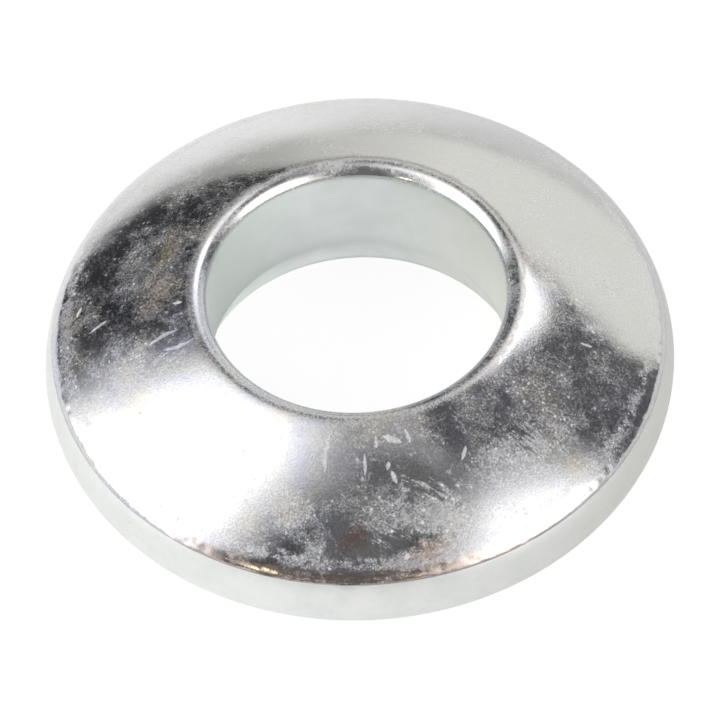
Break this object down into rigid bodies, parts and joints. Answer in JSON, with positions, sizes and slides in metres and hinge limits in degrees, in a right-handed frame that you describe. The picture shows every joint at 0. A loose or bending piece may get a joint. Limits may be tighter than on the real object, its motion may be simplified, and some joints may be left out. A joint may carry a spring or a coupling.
{
  "type": "domed washer",
  "caption": "Thick round steel washer with a convex domed top, a rounded rim, a flat underside and a plain central hole that widens a little at its foot.",
  "frame": {"origin": "centre of the flat underside, on the axis of the hole", "axes": "+Z along the axis of the hole, from the flat underside up to the domed top"},
  "size_m": [0.036, 0.036, 0.009],
  "materials": {
    "zinc_plate": "bright zinc plate, mottled and lightly scratched"
  },
  "bodies": {
    "root": {"washer": "zinc_plate"}
  },
  "joints": []
}
